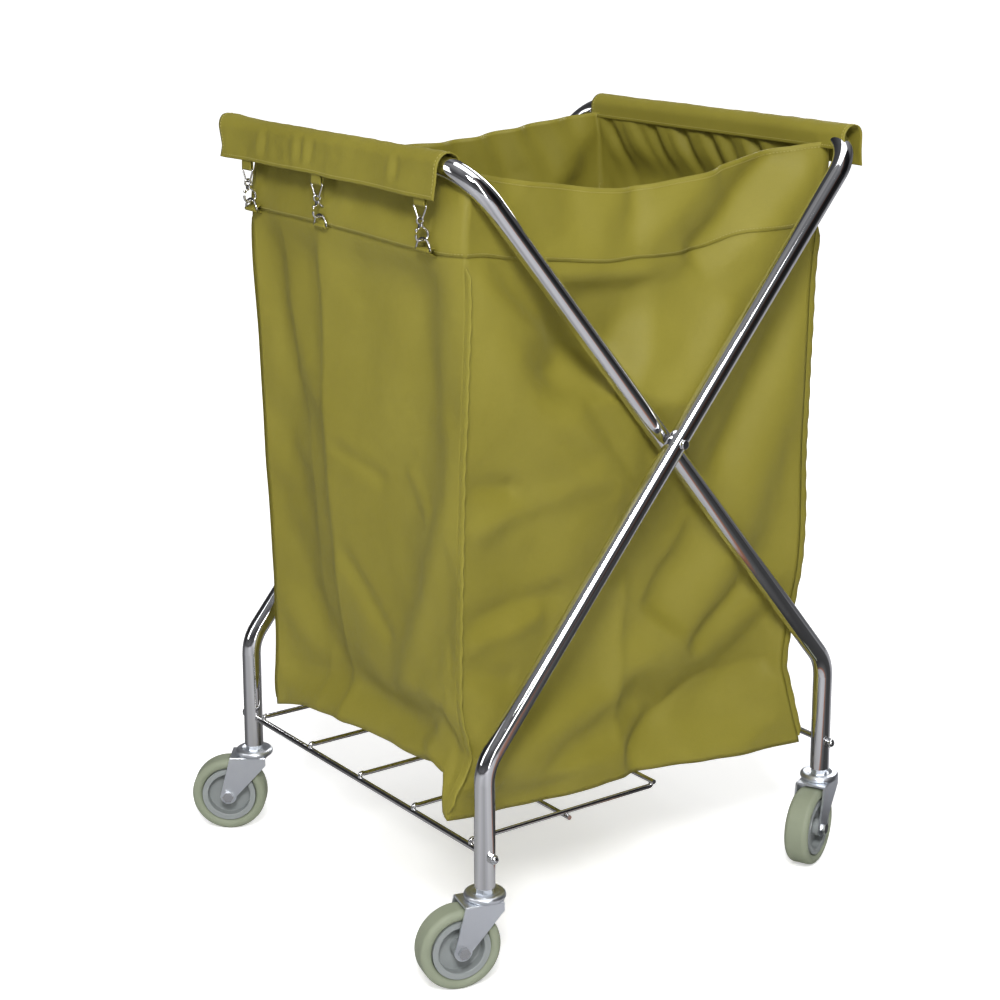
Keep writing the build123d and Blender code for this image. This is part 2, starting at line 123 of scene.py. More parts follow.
def sectors(tree, vector):
    """Light and dark sectors by the angle of vector about the vertical, as a colour."""
    split = add_node(tree, "SeparateXYZ")
    angle = add_node(tree, "Math", operation="ARCTAN2")
    turn = add_node(tree, "MapRange", From_Min=-math.pi, From_Max=math.pi)
    ramp = add_node(tree, "ValToRGB")
    greys = [(place, (level, level, level * (1.03 if 0 < place < 1 else 1.0))) for place, level in SECTORS]
    set_stops(ramp, [*greys[:-1], WARM_SECTOR, greys[-1]])
    link = tree.links.new
    link(vector, split.inputs[0])
    link(split.outputs["Y"], angle.inputs[0])
    link(split.outputs["X"], angle.inputs[1])
    link(angle.outputs["Value"], turn.inputs["Value"])
    link(turn.outputs["Result"], ramp.inputs["Fac"])
    return ramp.outputs["Color"]


def blend_colours(tree, kind, factor, first, second):
    """Two colours mixed or multiplied. Each of them, and the factor, is a value or a node's output."""
    node = add_node(tree, "MixRGB", blend_type=kind)
    for value, socket in ((factor, "Fac"), (first, "Color1"), (second, "Color2")):
        if isinstance(value, tuple):
            node.inputs[socket].default_value = (*value, 1.0)
        elif isinstance(value, float):
            node.inputs[socket].default_value = value
        else:
            tree.links.new(value, node.inputs[socket])
    return node.outputs["Color"]


def make_world():
    """White to the camera; a soft grey room for light and reflections."""
    world = bpy.data.worlds.new("studio")
    bpy.context.scene.world = world
    world.use_nodes = True
    tree = world.node_tree
    tree.nodes.clear()
    link = tree.links.new
    out = add_node(tree, "OutputWorld")
    mix = add_node(tree, "MixShader")
    path = add_node(tree, "LightPath")
    white = add_node(tree, "Background", Color=(1.0, 1.0, 1.0, 1.0))
    room = add_node(tree, "Background", Strength=0.38)
    towards = add_node(tree, "TexCoord").outputs["Generated"]
    split = add_node(tree, "SeparateXYZ")
    height = add_node(tree, "MapRange", From_Min=-1.0)
    ramp = add_node(tree, "ValToRGB")
    set_stops(ramp, ROOM_HEIGHTS)
    link(towards, split.inputs[0])
    link(split.outputs["Z"], height.inputs["Value"])
    link(height.outputs["Result"], ramp.inputs["Fac"])
    mirrored = blend_colours(tree, "MIX", path.outputs["Is Glossy Ray"], (1.0, 1.0, 1.0),
                             sectors(tree, towards))
    link(blend_colours(tree, "MULTIPLY", 1.0, ramp.outputs["Color"], mirrored), room.inputs["Color"])
    link(path.outputs["Is Camera Ray"], mix.inputs["Fac"])
    link(room.outputs["Background"], mix.inputs[1])
    link(white.outputs["Background"], mix.inputs[2])
    link(mix.outputs["Shader"], out.inputs["Surface"])


class Shade:
    """A material's node tree, with short ways to add and link nodes."""

    def __init__(self, name, **settings):
        self.material = bpy.data.materials.new(name)
        self.material.use_nodes = True
        self.tree = self.material.node_tree
        self.shader = self.tree.nodes["Principled BSDF"]
        set_values(self.shader, settings)

    def node(self, kind, **settings):
        return add_node(self.tree, kind, **settings)

    def link(self, source, target):
        self.tree.links.new(source, target)

    def place(self):
        """Where a point is on its own object."""
        return self.node("TexCoord").outputs["Object"]

    def noise(self, scale, detail=3.0, stretch=None, where=None):
        """Noise over the object, in features per metre."""
        source = where or self.place()
        if stretch:
            mapping = self.node("Mapping", Scale=stretch)
            self.link(source, mapping.inputs["Vector"])
            source = mapping.outputs["Vector"]
        texture = self.node("TexNoise", Scale=scale, Detail=detail)
        self.link(source, texture.inputs["Vector"])
        return texture.outputs["Fac"]

    def range(self, source, low, high, start=0.0, end=1.0):
        """source between start and end, taken to low and high."""
        node = self.node("MapRange", From_Min=start, From_Max=end, To_Min=low, To_Max=high)
        self.link(source, node.inputs["Value"])
        return node.outputs["Result"]

    def mix(self, factor, first, second):
        """A colour between first and second, each a colour or an output."""
        return blend_colours(self.tree, "MIX", factor, first, second)

    def math(self, kind, first, second=None):
        """A sum on numbers or outputs."""
        node = self.node("Math", operation=kind)
        for i, value in enumerate((first, second)):
            if isinstance(value, (int, float)):
                node.inputs[i].default_value = value
            elif value is not None:
                self.link(value, node.inputs[i])
        return node.outputs["Value"]

    def colour(self, source):
        self.link(source, self.shader.inputs["Base Color"])

    def rough(self, source):
        self.link(source, self.shader.inputs["Roughness"])

    def bump(self, *layers):
        """Bump from (height, strength, distance) layers, coarse to fine."""
        last = None
        for height, strength, distance in layers:
            node = self.node("Bump", Strength=strength, Distance=distance)
            self.link(height, node.inputs["Height"])
            if last:
                self.link(last, node.inputs["Normal"])
            last = node.outputs["Normal"]
        self.link(last, self.shader.inputs["Normal"])


def make_floor():
    """A pale floor that fades to the white behind it; the chrome mirrors it in sectors, a painted
    reflection of light and dark round the room.
    """
    floor = Shade("studio_floor", Roughness=0.9, Emission_Color=(1.0, 1.0, 1.0, 1.0))
    place = floor.place()
    reach = floor.node("VectorMath", operation="LENGTH")
    floor.link(place, reach.inputs[0])
    ray = floor.node("LightPath").outputs
    fade = floor.range(reach.outputs["Value"], 0.50, 1.0, 0.8, 3.5)
    glow = floor.math("MULTIPLY", fade, ray["Is Camera Ray"])
    floor.link(glow, floor.shader.inputs["Emission Strength"])
    # painted reflection: glossy rays see dimmed light and dark sectors here, in place of the floor's own
    # pale colour
    mirrored = blend_colours(floor.tree, "MULTIPLY", 1.0, sectors(floor.tree, place), (0.46, 0.46, 0.47))
    floor.colour(floor.mix(ray["Is Glossy Ray"], (0.86, 0.86, 0.86), mirrored))
    mesh = bpy.data.meshes.new("floor")
    half = 40.0
    corners = [(-half, -half, 0.0), (half, -half, 0.0), (half, half, 0.0), (-half, half, 0.0)]
    mesh.from_pydata(corners, [], [(0, 1, 2, 3)])
    mesh.materials.append(floor.material)
    add_object("floor", mesh)


bpy.context.scene.view_settings.view_transform = "Standard"
make_camera()
make_world()
make_floor()
soft_box("key", (-2.2, -2.8, 3.2), (0.0, 0.0, 0.55), (1.0, 1.0), 158.0)
soft_box("strip", (-1.3, -3.4, 1.7), (0.0, 0.0, 0.6), (0.42, 3.4), 24.0)
soft_box("left_fill", (-3.4, 0.9, 1.9), (0.0, 0.0, 0.6), (1.1, 2.0), 20.0)
soft_box("right_fill", (2.8, 1.4, 2.2), (0.0, 0.0, 0.6), (1.2, 2.0), 46.0)
soft_box("top", (0.2, -0.5, 3.4), (0.0, 0.0, 0.4), (2.0, 2.0), 24.0)

# -------- materials


def metal(name, bright, dull, rough, scratch, grain=90.0):
    """Plated or bare metal with a little haze, fine scratches and colour drift."""
    shade = Shade(name, Metallic=1.0)
    drift = shade.noise(6.0, 4.0)
    shade.colour(shade.mix(drift, bright, dull))
    haze = shade.noise(grain, 5.0)
    shade.rough(shade.range(haze, rough[0], rough[1], 0.3, 0.75))
    scratches = shade.noise(420.0, 2.0, stretch=(1.0, 1.0, 0.15))
    shade.bump((scratches, scratch, 0.0004))
    return shade.material


def cloth(name, light, dark, weave=0.00062, ribs=False):
    """Coated plain-weave cloth: fine threads, slubs darkened with painted weave shade, soft colour drift
    and a slight sheen.
    """
    shade = Shade(name, Specular_IOR_Level=0.30, Sheen_Weight=0.05, Sheen_Roughness=0.45)
    shade.shader.inputs["Sheen Tint"].default_value = (0.90, 0.86, 0.55, 1.0)
    uv = shade.node("UVMap", uv_map="cloth").outputs["UV"]
    split = shade.node("SeparateXYZ")
    shade.link(uv, split.inputs[0])
    turns = 2.0 * math.pi / weave
    across = shade.math("SINE", shade.math("MULTIPLY", split.outputs["X"], turns))
    down = shade.math("SINE", shade.math("MULTIPLY", split.outputs["Y"], turns))
    threads = across if ribs else shade.math("MULTIPLY", across, down)
    slubs = shade.noise(1.0, 3.0, stretch=(2600.0, 90.0, 1.0), where=uv)
    wefts = shade.noise(1.0, 3.0, stretch=(90.0, 2600.0, 1.0), where=uv)
    yarn = shade.math("ADD", slubs, wefts)
    drift = shade.noise(5.0, 4.0)
    fine = shade.noise(160.0, 3.0)
    base = shade.mix(shade.range(drift, 0.0, 1.0, 0.30, 0.70), dark, light)
    # darker streaks along the yarn: partly the slubs' own tone, partly painted shade in the weave
    weave_shade = tuple(0.80 * value for value in dark)
    shaded_weave = shade.mix(shade.range(yarn, 0.0, 0.30, 0.85, 1.35), base, weave_shade)
    shade.colour(shaded_weave)
    shade.rough(shade.range(fine, 0.47, 0.62))
    crumple = shade.noise(34.0, 5.0)
    shade.bump((crumple, 0.35, 0.0022), (fine, 0.25, 0.0006), (yarn, 0.20, 0.0002),
               (threads, 0.30, 0.00012))
    return shade.material


def rubber():
    """The grey-green tyres: soft, dull and a little uneven."""
    shade = Shade("grey_tyre", Specular_IOR_Level=0.35)
    drift = shade.noise(22.0, 4.0)
    shade.colour(shade.mix(drift, (0.228, 0.256, 0.182), (0.278, 0.306, 0.222)))
    grain = shade.noise(900.0, 3.0)
    shade.rough(shade.range(grain, 0.50, 0.66))
    shade.bump((drift, 0.15, 0.0008), (grain, 0.20, 0.0001))
    return shade.material


def plastic(name, light, dark, rough):
    """Moulded plastic, or thread, between two colours."""
    shade = Shade(name, Specular_IOR_Level=0.45)
    drift = shade.noise(30.0, 3.0)
    shade.colour(shade.mix(drift, light, dark))
    grain = shade.noise(700.0, 2.0)
    shade.rough(shade.range(grain, rough - 0.06, rough + 0.06))
    shade.bump((grain, 0.12, 0.0001))
    return shade.material


CLOTH_LIGHT = (0.252, 0.220, 0.0295)
CLOTH_DARK = (0.212, 0.183, 0.0210)
chrome = metal("chromed_tube", (0.86, 0.86, 0.87), (0.74, 0.75, 0.77), (0.03, 0.075), 0.02)
wire_chrome = metal("chromed_wire", (0.74, 0.74, 0.74), (0.60, 0.60, 0.61), (0.12, 0.22), 0.08)
fastener = metal("bright_fastener", (0.70, 0.71, 0.72), (0.58, 0.59, 0.61), (0.14, 0.26), 0.08)
clip_metal = metal("bright_clip", (0.78, 0.77, 0.75), (0.62, 0.61, 0.60), (0.10, 0.20), 0.05)
zinc = metal("zinc_steel", (0.90, 0.93, 0.97), (0.74, 0.78, 0.84), (0.30, 0.46), 0.25, 260.0)
tyre = rubber()
hub = plastic("grey_hub", (0.285, 0.305, 0.305), (0.235, 0.255, 0.255), 0.36)
nylon = plastic("nylon", (0.055, 0.056, 0.058), (0.040, 0.041, 0.043), 0.45)
olive = cloth("olive_cloth", CLOTH_LIGHT, CLOTH_DARK)
webbing = cloth("olive_webbing", CLOTH_LIGHT, CLOTH_DARK, 0.0011, ribs=True)
thread = plastic("olive_thread", (0.42, 0.37, 0.11), (0.36, 0.32, 0.09), 0.55)

FINISHES = (
    ("leg_plugs", nylon),
    ("frame", chrome),
    ("shelf_nuts", fastener),
    ("shelf", wire_chrome),
    ("pivot_spacers", nylon),
    ("pivot", fastener),
    ("tyre", tyre),
    ("hub", hub),
    ("bearing_balls", fastener),
    ("axle", fastener),
    ("caster", zinc),
    ("clip", clip_metal),
)


def finish_metalwork():
    """Each CAD node's own finish, by what its name says it is."""
    for name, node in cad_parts.items():
        for word, material in FINISHES:
            if word in name:
                for index in range(max(1, len(node.material_slots))):
                    if node.material_slots:
                        node.material_slots[index].material = material
                    else:
                        node.data.materials.append(material)
                break


finish_metalwork()

# -------- mesh helpers


def make_piece(name, points, faces, uvs, body, material=None):
    """A mesh piece on a body, with its finish and its flat position as a UV map."""
    mesh = bpy.data.meshes.new(name)
    mesh.from_pydata([tuple(map(float, p)) for p in points], [], faces)
    layer = mesh.uv_layers.new(name="cloth")
    flat = np.array(uvs, float)[[loop.vertex_index for loop in mesh.loops]]
    layer.data.foreach_set("uv", flat.ravel())
    mesh.materials.append(material or olive)
    mesh.polygons.foreach_set("use_smooth", [True] * len(mesh.polygons))
    piece = add_object(name, mesh)
    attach(piece, body)
    return piece


def grid_faces(rows, columns, wrap=False):
    """Quads over rows of points, closed round if wrap."""
    faces = []
    for r in range(rows - 1):
        for c in range(columns if wrap else columns - 1):
            d = (c + 1) % columns
            low, high = r * columns, (r + 1) * columns
            faces.append((low + c, low + d, high + d, high + c))
    return faces


def thicken(piece, thickness):
    """Gives a sheet its real thickness and a rim, and keeps the result as its mesh."""
    solid = piece.modifiers.new("thickness", "SOLIDIFY")
    solid.thickness = thickness
    solid.offset = 0.0
    solid.use_even_offset = False
    graph = bpy.context.evaluated_depsgraph_get()
    mesh = bpy.data.meshes.new_from_object(piece.evaluated_get(graph))
    piece.modifiers.clear()
    piece.data = mesh


def curve(points):
    """A smooth function through (position, value) points, level beyond the ends."""
    xs, ys = np.array(points, float).T
    slopes = np.gradient(ys, xs)

    def value(x):
        x = np.clip(x, xs[0], xs[-1])
        i = np.clip(np.searchsorted(xs, x) - 1, 0, len(xs) - 2)
        step = xs[i + 1] - xs[i]
        t = (x - xs[i]) / step
        rise = 3 * t**2 - 2 * t**3
        ease_in = t**3 - 2 * t**2 + t
        ease_out = t**3 - t**2
        bent = step * (slopes[i] * ease_in + slopes[i + 1] * ease_out)
        return ys[i] + (ys[i + 1] - ys[i]) * rise + bent

    return value


def waves(count, low, high, seed):
    """A smooth random function of two positions, about -1 to 1, with features low to high metres."""
    dice = np.random.default_rng(seed)
    length = np.exp(dice.uniform(math.log(low), math.log(high), count))
    angle = dice.uniform(0, 2 * math.pi, count)
    phase = dice.uniform(0, 2 * math.pi, count)
    size = length / length.sum()

    def value(a, b):
        total = 0.0
        for s, l, t, p in zip(size, length, angle, phase):
            total = total + s * np.sin(2 * math.pi / l * (a * math.cos(t) + b * math.sin(t)) + p)
        return 1.6 * total

    return value


def normals_of(points):
    """Unit normals of a grid of points, (rows, columns, 3)."""
    down = np.gradient(points, axis=0)
    across = np.gradient(points, axis=1)
    normal = np.cross(across, down)
    return normal / np.maximum(np.linalg.norm(normal, axis=2, keepdims=True), 1e-9)


def bell(x):
    """1 at x = 0, falling away on both sides."""
    return np.exp(-(x**2))


def travel_of(points):
    """How far along a line of points each of them is."""
    steps = np.linalg.norm(np.diff(np.asarray(points), axis=0), axis=1)
    return np.concatenate([[0.0], np.cumsum(steps)])


def between(grid, r, c):
    """A grid's value at a row and column that may fall between its points. The columns run round."""
    r0, c0 = int(min(r, grid.shape[0] - 2)), int(c)
    fr, fc = r - r0, c - c0
    near = ((r0, c0, (1 - fr) * (1 - fc)), (r0, c0 + 1, (1 - fr) * fc),
            (r0 + 1, c0, fr * (1 - fc)), (r0 + 1, c0 + 1, fr * fc))
    return sum(share * grid[i, j % grid.shape[1]] for i, j, share in near)


def join(parts):
    """One (points, faces, uvs) from several."""
    points, faces, uvs = [], [], []
    for new_points, new_faces, new_uvs in parts:
        faces += [tuple(i + len(points) for i in face) for face in new_faces]
        points += new_points
        uvs += new_uvs
    return points, faces, uvs


# -------- the bag's shape

SHEET = 0.0009
HALF_Y = 0.2245  # half the bag's width, across the trolley
HEM_DEPTH = 0.087
FLOOR_Z = 0.1785
HEM_AT = 0.86  # the band's seam, on a wall that runs from 0 at the bottom to 1 at the rim
BAR_X, BAR_Z = 0.282, 0.9535  # the handle bars' axes
LOOP_X, LOOP_Z = 0.2994, 0.9094  # the clips' wire loops, under the flaps
RING_X, RING_Z = 0.2955, 0.858  # the clips' D-rings, at the band's seam
TAB_X, TAB_Z = 0.2912, 0.859  # where the D-rings' tabs meet the wall
CLIPS = {"left": (-0.174, 0.047, 0.214), "right": (-0.172, 0.020, 0.168)}  # their y
SIDES = ("near", "right", "far", "left")
STEPS = {"near": 92, "right": 76, "far": 92, "left": 76}
LOW_ROWS, HEM_ROWS = 112, 17
FIRST_COLUMN = dict(zip(SIDES, np.cumsum([0] + [STEPS[side] for side in SIDES])))

# each corner's x by height, and its y
CORNERS = {
    "near_left": (curve([
        (0.185, -0.303), (0.204, -0.300), (0.226, -0.294), (0.246, -0.284), (0.337, -0.286),
        (0.50, -0.284), (0.693, -0.279), (0.818, -0.275), (0.88, -0.277), (0.950, -0.2695)]), -HALF_Y),
    "near_right": (curve([
        (0.150, 0.259), (0.20, 0.245), (0.269, 0.232), (0.355, 0.236), (0.406, 0.245),
        (0.60, 0.250), (0.829, 0.260), (0.88, 0.267), (0.925, 0.2755), (0.9455, 0.2700)]), -HALF_Y),
    "far_right": (curve([
        (0.160, 0.258), (0.30, 0.252), (0.45, 0.257), (0.65, 0.266), (0.85, 0.276),
        (0.950, 0.2695)]), HALF_Y),
    "far_left": (curve([
        (0.180, -0.270), (0.332, -0.268), (0.45, -0.273), (0.692, -0.283), (0.847, -0.289),
        (0.90, -0.284), (0.950, -0.2695)]), HALF_Y),
}
ENDS = {
    "near": ("near_left", "near_right"),
    "right": ("near_right", "far_right"),
    "far": ("far_right", "far_left"),
    "left": ("far_left", "near_left"),
}
OUTWARD = {"near": (0, -1), "right": (1, 0), "far": (0, 1), "left": (-1, 0)}

# heights of the rim and the bottom, and the seam's rise from HEM_DEPTH under the rim, by the share
# of the side from its first corner
RIM = {
    "near": curve([(0.0, 0.9455), (0.03, 0.944), (0.13, 0.935), (0.235, 0.926), (0.42, 0.9125),
                   (0.50, 0.9130), (0.66, 0.9225), (0.82, 0.9350), (0.95, 0.9430), (1.0, 0.9455)]),
    "right": curve([(0.0, 0.9455), (0.5, 0.9440), (1.0, 0.9455)]),
    "far": curve([(0.0, 0.9455), (0.12, 0.943), (0.26, 0.936), (0.45, 0.926), (0.58, 0.925), (0.75, 0.932),
                  (0.92, 0.942), (1.0, 0.9455)]),
    "left": curve([(0.0, 0.9455), (0.5, 0.9440), (1.0, 0.9455)]),
}
HEM_SHIFT = {
    "near": curve([(0.0, -0.004), (0.20, 0.0), (0.40, 0.005), (0.52, 0.005), (0.60, 0.0), (0.67, -0.006),
                   (0.78, -0.001), (0.85, -0.005), (0.92, -0.009), (1.0, -0.006)]),
    "right": curve([(0.0, -0.006), (0.2, 0.0), (1.0, 0.0)]),
    "far": curve([(0.0, 0.0), (1.0, 0.0)]),
    "left": curve([(0.0, 0.0), (0.35, 0.003), (0.6, 0.001), (0.9, -0.004), (1.0, -0.004)]),
}
BOTTOM = {
    "near": curve([(0.0, 0.191), (0.04, 0.187), (0.15, 0.182), (0.30, 0.179), (0.50, 0.178), (0.66, 0.169),
                   (0.85, 0.160), (1.0, 0.156)]),
    "right": curve([(0.0, 0.156), (0.12, 0.166), (0.5, 0.176), (0.9, 0.174), (1.0, 0.172)]),
    "far": curve([(0.0, 0.172), (0.3, 0.179), (0.6, 0.182), (1.0, 0.190)]),
    "left": curve([(0.0, 0.190), (0.10, 0.203), (0.41, 0.224), (0.72, 0.235), (0.90, 0.240), (0.945, 0.232),
                   (0.970, 0.200), (1.0, 0.191)]),
}


def hill(a, z, place, size, height):
    """A soft round rise, height above the cloth, at place (along, up)."""
    return height * np.exp(-(((a - place[0]) / size[0]) ** 2) - ((z - place[1]) / size[1]) ** 2)


def beside_line(a, z, start, end):
    """Distance right of a line, and 1 along its length that drops to 0 beyond its ends."""
    start, end = np.array(start), np.array(end)
    along = end - start
    length = np.hypot(*along)
    along = along / length
    da, dz = a - start[0], z - start[1]
    t = (da * along[0] + dz * along[1]) / length
    return da * along[1] - dz * along[0], 1 / (1 + np.exp(-t / 0.031)) / (1 + np.exp((t - 1.0) / 0.031))


def crease(a, z, start, end, width, height):
    """A sharp fold along a line."""
    d, ends = beside_line(a, z, start, end)
    return height * np.exp(-(np.abs(d) / width)) * ends


def fold(a, z, start, end, width, height):
    """A rounded fold along a line."""
    d, ends = beside_line(a, z, start, end)
    return height * bell(np.abs(d) / width) * ends


def bend(a, z, start, end, reach, height):
    """A facet: the cloth turns at the line and slopes away on its left side, back to flat over reach."""
    d, ends = beside_line(a, z, start, end)
    d = -d / reach
    return height * np.where(d > 0, d * np.exp(1 - np.maximum(d, 0)), 0.0) * ends


ripple_wide = waves(9, 0.16, 0.45, 3)
ripple_mid = waves(12, 0.06, 0.15, 5)
ripple_fine = waves(14, 0.022, 0.055, 11)


# the valley over the near panel's flared bottom: height by x
FLARE = curve([(-0.06, 0.190), (-0.036, 0.197), (-0.012, 0.207), (0.051, 0.241), (0.089, 0.270),
               (0.152, 0.271), (0.235, 0.278)])


def hollow(a, z):
    """The dent under the near hem: it starts at a sharp edge, deepens as it falls, and ends sharply."""
    fallen = 0.8035 - 0.08 * (a - 0.007) - z
    lip = 0.30 / (1 + np.exp(-fallen / 0.0035))
    deepen = 0.70 * np.clip(fallen / 0.078, 0, 1)
    close = bell(np.clip(0.722 - z, 0, None) / 0.045)
    right = 1 / (1 + np.exp((a - 0.007 - 0.34 * (z - 0.803)) / 0.009))
    leftward = bell(np.clip(-0.070 - a - 0.5 * np.clip(0.80 - z, 0, None), 0, None) / 0.075)
    return -0.050 * ((lip + deepen) * close * right * leftward)


def lean_in(a, z):
    """The near band leans in towards the rim."""
    return -0.020 * np.clip((z - 0.845) / 0.090, 0, 1)


def valley(a, z):
    """The valley over the flared bottom, steeper below its line than above."""
    over = z - FLARE(a)
    depth = np.exp(-np.abs(over) / np.where(over < 0, 0.042, 0.080)) / (1 + np.exp(-(a + 0.022) / 0.010))
    return -0.021 * depth


def hung_seam(a, z):
    """A short wall hangs from the flap's clips, which hold the band's seam out under the bar."""
    return 0.0075 * bell((z - RING_Z) / 0.050)


def right_gathers(a, z):
    """Gathers that hang from the flap's seam and lean towards the near end as they fall."""
    lean = a + 0.55 * (0.944 - z)
    depth = np.clip((z - 0.66) / 0.25, 0, 1) ** 1.3 * np.clip((0.9450 - z) / 0.016, 0, 1)
    pleats = np.sin(2 * math.pi * lean / 0.058 + 2.1 * np.sin(17.0 * lean + 0.6))
    pleats = pleats + 0.6 * np.sin(2 * math.pi * lean / 0.031 + 2.2 + 1.5 * np.sin(11.0 * a))
    return 0.0085 * depth * (np.abs(0.45 * pleats + 0.5) ** 1.3 - 0.6)


def far_gathers(a, z):
    """Slight gathers under the far rim."""
    lean = a - 0.45 * (0.944 - z)
    depth = np.clip((z - 0.76) / 0.16, 0, 1)
    return 0.0040 * depth * np.sin(2 * math.pi * lean / 0.075 + 1.2 * np.sin(9 * lean))


# what stands out of each wall, as a function of (along, up) and its numbers
FOLDS = {
    "near": (
        # the stiff hem stands out over a hollow with a sharp top and right edge
        (hill, (-0.05, 0.820), (0.14, 0.018), 0.005),
        (hill, (0.00, 0.925), (0.19, 0.040), -0.016),
        (hollow,),
        (lean_in,),
        (hill, (0.15, 0.760), (0.07, 0.060), -0.012),
        (fold, (0.065, 0.825), (0.225, 0.940), 0.026, -0.021),
        (fold, (-0.01, 0.850), (0.11, 0.930), 0.022, 0.008),
        # drag lines from the corner and down the right of the crossing
        (fold, (-0.272, 0.828), (-0.085, 0.700), 0.020, 0.009),
        (fold, (0.222, 0.738), (0.115, 0.560), 0.026, -0.013),
        (fold, (0.120, 0.760), (0.040, 0.640), 0.026, 0.009),
        # soft folds that climb from the left seam
        (fold, (-0.274, 0.530), (-0.075, 0.582), 0.020, 0.009),
        (fold, (-0.270, 0.588), (-0.200, 0.579), 0.012, -0.007),
        (fold, (-0.271, 0.428), (-0.120, 0.436), 0.017, -0.009),
        (fold, (-0.268, 0.398), (-0.150, 0.415), 0.015, 0.006),
        (fold, (-0.280, 0.374), (-0.200, 0.344), 0.015, -0.006),
        # the fold it is carried with, down the middle
        (crease, (-0.060, 0.700), (-0.059, 0.480), 0.014, 0.0040),
        (bend, (-0.041, 0.450), (-0.035, 0.190), 0.050, -0.0110),
        (crease, (-0.041, 0.450), (-0.035, 0.190), 0.030, 0.0060),
        # flat facets right of the middle, and the valley over the flared bottom
        (crease, (-0.058, 0.436), (0.088, 0.306), 0.012, 0.0048),
        (bend, (0.063, 0.500), (-0.011, 0.405), 0.045, -0.0100),
        (fold, (0.165, 0.392), (0.072, 0.323), 0.017, -0.0090),
        (valley,),
        # puckers and a tuck near the corner
        (fold, (-0.290, 0.240), (-0.245, 0.247), 0.007, -0.010),
        (crease, (-0.280, 0.262), (-0.235, 0.222), 0.008, 0.007),
        (fold, (-0.285, 0.222), (-0.250, 0.205), 0.007, -0.005),
    ),
    "left": (
        (hung_seam,),
        # two upright folds part the wall into three facets
        (bend, (0.061, 0.870), (0.051, 0.215), 0.050, -0.0115),
        (crease, (0.061, 0.860), (0.051, 0.215), 0.012, 0.0020),
        (bend, (0.158, 0.870), (0.100, 0.500), 0.045, -0.0075),
        (bend, (0.104, 0.500), (0.112, 0.230), 0.045, -0.0060),
        (hill, (-0.190, 0.800), (0.030, 0.050), 0.006),
        (fold, (-0.140, 0.850), (-0.195, 0.640), 0.026, 0.0050),
        (fold, (-0.205, 0.560), (-0.09, 0.300), 0.026, 0.0065),
        (fold, (0.045, 0.589), (-0.045, 0.560), 0.010, -0.0035),
        (fold, (0.040, 0.450), (-0.060, 0.360), 0.012, -0.0045),
        (fold, (-0.094, 0.584), (-0.146, 0.534), 0.012, 0.0035),
        (hill, (-0.08, 0.50), (0.08, 0.16), -0.006),
        (hill, (0.10, 0.27), (0.07, 0.06), 0.005),
        (fold, (-0.212, 0.330), (-0.150, 0.250), 0.013, 0.005),
    ),
    "right": (
        (hung_seam,),
        (right_gathers,),
        (fold, (-0.10, 0.62), (0.10, 0.40), 0.03, 0.005),
        (crease, (-0.01, 0.86), (-0.01, 0.25), 0.03, 0.004),
    ),
    "far": (
        (crease, (0.0, 0.860), (0.0, 0.222), 0.030, 0.0045),
        (far_gathers,),
        (hill, (-0.12, 0.80), (0.09, 0.05), -0.010),
        (fold, (-0.22, 0.84), (-0.02, 0.70), 0.022, 0.006),
        (fold, (0.20, 0.62), (0.04, 0.46), 0.03, 0.005),
    ),
}


def relief(side, a, z):
    """How far the cloth stands out of its flat panel, in metres, at a (x or y) and height z."""
    turn = SIDES.index(side)
    out = 0.0050 * ripple_wide(a + 3.1 * turn, z)
    out = out + 0.0021 * ripple_mid(a + 1.7 * turn, z)
    out = out + 0.0003 * ripple_fine(a, z + 0.9 * turn)
    for shape, *numbers in FOLDS[side]:
        out = out + shape(a, z, *numbers)
    return out


# a diagonal tube, from a handle bar's end down to the other side: its run across, and how far it
# drops at rest and folded
TUBE_ACROSS, REST_DROP, FOLD_DROP = 0.564, 0.6855, 0.8097
TUBE_CLEAR = 0.018
PIVOT_TOP, PIVOT_BOTTOM = 0.611, 0.549  # where the crossing's pivot goes as the trolley folds


def off_sweep(x, z):
    """Distance from the strip that a diagonal tube sweeps over the bag's long wall as it folds."""
    x, z = x + BAR_X, z - BAR_Z
    above = (x * REST_DROP + z * TUBE_ACROSS) / math.hypot(TUBE_ACROSS, REST_DROP)
    below = -(x * FOLD_DROP + z * TUBE_ACROSS) / math.hypot(TUBE_ACROSS, FOLD_DROP)
    return np.maximum(np.maximum(above, below) - TUBE_CLEAR, 0.0)


def room_out(x, z):
    """How far out of y = HALF_Y the long walls may stand, clear of the folding frames' tubes."""
    off_pivot = np.hypot(x, np.maximum(np.maximum(z - PIVOT_TOP, PIVOT_BOTTOM - z), 0.0))
    nut = 0.0065 * bell(off_pivot / 0.020)
    return np.minimum(0.0032 + 0.55 * off_sweep(x, z), 0.0270 + 0.55 * off_sweep(-x, z)) - nut


def side_points(side, share, height):
    """Points of one side, at shares from its first corner and rows of height 0 (bottom) to 1 (rim)."""
    low, rim = BOTTOM[side](share), RIM[side](share)
    hem = rim - HEM_DEPTH + HEM_SHIFT[side](share)
    z = np.where(height <= HEM_AT, low + (hem - low) * height / HEM_AT,
                 hem + (rim - hem) * (height - HEM_AT) / (1 - HEM_AT))
    (first, first_y), (last, last_y) = (CORNERS[end] for end in ENDS[side])
    x = first(z) + (last(z) - first(z)) * share
    y = first_y + (last_y - first_y) * share
    a = x if side in ("near", "far") else y + 0 * z
    window = 1 - np.abs(2 * share - 1) ** 10
    out = relief(side, a, z) * window
    if side in ("near", "far"):
        room = np.maximum(room_out(x, z), 0.0004)
        out = np.where(out > 0, room * np.tanh(out / room), out)
    return np.stack([x + out * OUTWARD[side][0], y + out * OUTWARD[side][1], z], axis=-1)


heights = np.concatenate([np.linspace(0, HEM_AT, LOW_ROWS), np.linspace(HEM_AT, 1, HEM_ROWS + 1)[1:]])


